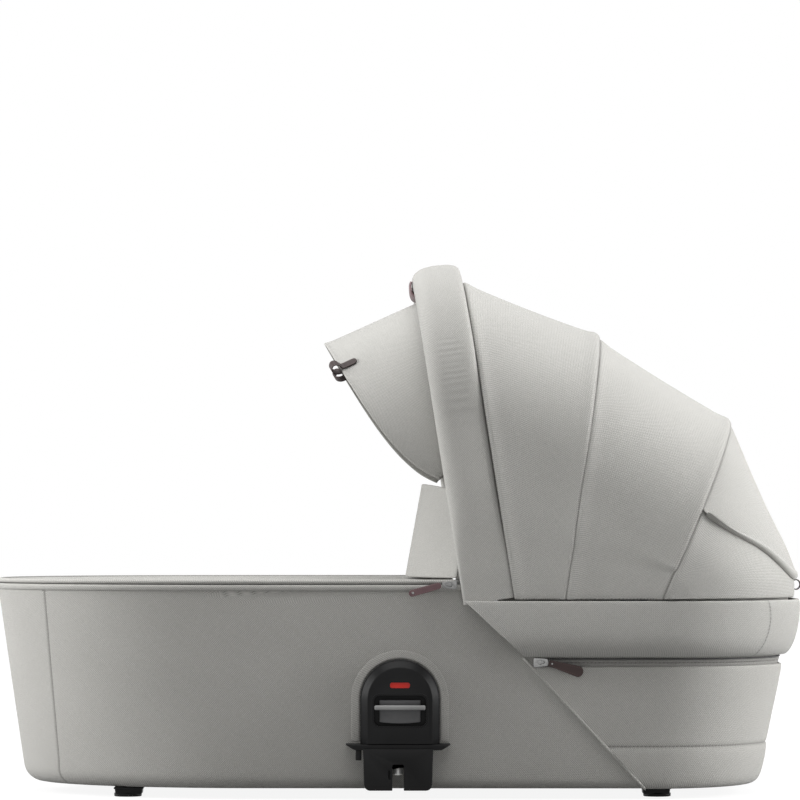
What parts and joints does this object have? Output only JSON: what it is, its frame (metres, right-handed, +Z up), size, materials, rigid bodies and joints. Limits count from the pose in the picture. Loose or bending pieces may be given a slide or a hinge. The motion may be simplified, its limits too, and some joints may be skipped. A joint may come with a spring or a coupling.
{
  "type": "carrycot",
  "caption": "Carrycot for a pram chassis: cloth-covered tub with a zipped apron, a folding hood with a sun visor and a carry bow, and side adapters with release levers.",
  "frame": {"origin": "bottom centre of the bounding box, on the plane of the feet", "axes": "+X toward the head end, +Z up, -Y toward the left side, seen in the picture"},
  "size_m": [0.873, 0.445, 0.5706],
  "materials": {
    "melange_cloth": "woven melange cloth",
    "hood_cloth": "woven melange cloth",
    "lining_cloth": "soft cloth",
    "tub_plastic": "moulded",
    "dark_plastic": "moulded, fine grain",
    "grey_plastic": "moulded",
    "red_plastic": "bright red",
    "steel": "bright",
    "aluminium": "plain tube",
    "board": "hardboard",
    "brown_leather": "dark brown, cut edges",
    "mauve_leather": "brown with a mauve tone"
  },
  "bodies": {
    "tub": {"adapter_housing_left": "dark_plastic", "adapter_housing_right": "dark_plastic", "adapter_socket_left": "dark_plastic", "adapter_socket_right": "dark_plastic", "adapter_surround_left": "melange_cloth", "adapter_surround_right": "melange_cloth", "apron": "hood_cloth", "floor_board": "board", "foot_head_left": "dark_plastic", "foot_head_right": "dark_plastic", "foot_toe_left": "dark_plastic", "foot_toe_right": "dark_plastic", "head_cover": "melange_cloth", "head_zip_tape": "melange_cloth", "hinge_pin_left": "steel", "hinge_pin_right": "steel", "hinge_plate_left": "dark_plastic", "hinge_plate_right": "dark_plastic", "hood_band": "hood_cloth", "lining": "lining_cloth", "mattress": "lining_cloth", "outer_cover": "melange_cloth", "rear_loop": "brown_leather", "rim_binding": "melange_cloth", "rim_frame": "aluminium", "tub_shell": "tub_plastic", "welt_left": "melange_cloth", "welt_right": "melange_cloth"},
    "rear_bow": {"rear_bow_rib": "tub_plastic", "hood_panel_rear": "hood_cloth", "rear_flap": "hood_cloth"},
    "mid_bow": {"mid_bow_rib": "tub_plastic", "hood_panel_mid": "hood_cloth"},
    "front_bow": {"front_bow_tube": "aluminium", "front_bow_sleeve": "hood_cloth", "carry_grip": "mauve_leather", "hood_panel_front": "hood_cloth"},
    "visor": {"visor_panel": "hood_cloth", "visor_wire": "melange_cloth", "visor_loop_left": "brown_leather", "visor_loop_right": "brown_leather"},
    "flap": {"wind_flap": "hood_cloth"},
    "head_slider": {"head_zip_slider": "steel"},
    "head_pull": {"head_zip_pull": "brown_leather"},
    "lever_left": {"release_lever_left": "grey_plastic"},
    "flag_left": {"indicator_left": "red_plastic"},
    "bolt_left": {"latch_bolt_left": "steel"},
    "button_left": {"hood_button_left": "grey_plastic"},
    "apron_slider_left": {"apron_zip_slider_left": "steel"},
    "apron_pull_left": {"apron_zip_pull_left": "mauve_leather"},
    "lever_right": {"release_lever_right": "grey_plastic"},
    "flag_right": {"indicator_right": "red_plastic"},
    "bolt_right": {"latch_bolt_right": "steel"},
    "button_right": {"hood_button_right": "grey_plastic"},
    "apron_slider_right": {"apron_zip_slider_right": "steel"},
    "apron_pull_right": {"apron_zip_pull_right": "mauve_leather"}
  },
  "joints": [
    {"name": "hood_fold", "type": "hinge", "parent": "tub", "child": "rear_bow", "pos_m": [0.167, 0, 0.183], "axis": [0, 1, 0], "range_deg": [0, 23], "deforming": ["hood_panel_rear", "rear_flap"]},
    {"name": "mid_bow_fold", "type": "hinge", "parent": "rear_bow", "child": "mid_bow", "pos_m": [0.167, 0, 0.183], "axis": [0, 1, 0], "range_deg": [0, 18.2], "deforming": ["hood_panel_mid"]},
    {"name": "front_bow_fold", "type": "hinge", "parent": "mid_bow", "child": "front_bow", "pos_m": [0.167, 0, 0.183], "axis": [0, 1, 0], "range_deg": [0, 13.4], "deforming": ["hood_panel_front"]},
    {"name": "visor_tilt", "type": "hinge", "parent": "front_bow", "child": "visor", "pos_m": [0.051, 0, 0.335], "axis": [0, 1, 0], "range_deg": [0, 28]},
    {"name": "wind_flap_fold", "type": "hinge", "parent": "tub", "child": "flap", "pos_m": [0.0085, 0, 0.2312], "axis": [0, 1, 0], "range_deg": [-80, 0]},
    {"name": "head_zip_slide", "type": "slide", "parent": "tub", "child": "head_slider", "axis": [1, 0, 0], "range_m": [0, 0.12]},
    {"name": "head_zip_pull_swing", "type": "hinge", "parent": "head_slider", "child": "head_pull", "pos_m": [0.155, -0.20164, 0.14375], "axis": [0, 0, -1], "range_deg": [0, 150]},
    {"name": "release_lever_left", "type": "slide", "parent": "tub", "child": "lever_left", "axis": [0, 0, 1], "range_m": [0, 0.004], "stiffness_N_per_m": 800, "springref_m": -0.002},
    {"name": "indicator_left", "type": "slide", "parent": "tub", "child": "flag_left", "axis": [0, 0, 1], "range_m": [0, 0.004]},
    {"name": "latch_bolt_left", "type": "slide", "parent": "tub", "child": "bolt_left", "axis": [0, 0, 1], "range_m": [0, 0.004]},
    {"name": "hood_button_left", "type": "slide", "parent": "tub", "child": "button_left", "axis": [0, -1, 0], "range_m": [0, 0.004], "stiffness_N_per_m": 800, "springref_m": -0.002},
    {"name": "apron_zip_slide_left", "type": "slide", "parent": "tub", "child": "apron_slider_left", "axis": [-1, 0, 0], "range_m": [0, 0.17]},
    {"name": "apron_zip_pull_swing_left", "type": "hinge", "parent": "apron_slider_left", "child": "apron_pull_left", "pos_m": [0.0435, -0.20969, 0.22495], "axis": [0, 0, 1], "range_deg": [0, 150]},
    {"name": "release_lever_right", "type": "slide", "parent": "tub", "child": "lever_right", "axis": [0, 0, 1], "range_m": [0, 0.004], "stiffness_N_per_m": 800, "springref_m": -0.002},
    {"name": "indicator_right", "type": "slide", "parent": "tub", "child": "flag_right", "axis": [0, 0, 1], "range_m": [0, 0.004]},
    {"name": "latch_bolt_right", "type": "slide", "parent": "tub", "child": "bolt_right", "axis": [0, 0, 1], "range_m": [0, 0.004]},
    {"name": "hood_button_right", "type": "slide", "parent": "tub", "child": "button_right", "axis": [0, 1, 0], "range_m": [0, 0.004], "stiffness_N_per_m": 800, "springref_m": -0.002},
    {"name": "apron_zip_slide_right", "type": "slide", "parent": "tub", "child": "apron_slider_right", "axis": [-1, 0, 0], "range_m": [0, 0.17]},
    {"name": "apron_zip_pull_swing_right", "type": "hinge", "parent": "apron_slider_right", "child": "apron_pull_right", "pos_m": [0.0435, 0.20969, 0.22495], "axis": [0, 0, -1], "range_deg": [0, 150]}
  ],
  "couplings": [
    {"joint": "mid_bow_fold", "follows": "hood_fold", "ratio": 0.79},
    {"joint": "front_bow_fold", "follows": "hood_fold", "ratio": 0.58},
    {"joint": "indicator_left", "follows": "release_lever_left", "ratio": 1},
    {"joint": "latch_bolt_left", "follows": "release_lever_left", "ratio": 1},
    {"joint": "indicator_right", "follows": "release_lever_right", "ratio": 1},
    {"joint": "latch_bolt_right", "follows": "release_lever_right", "ratio": 1}
  ]
}
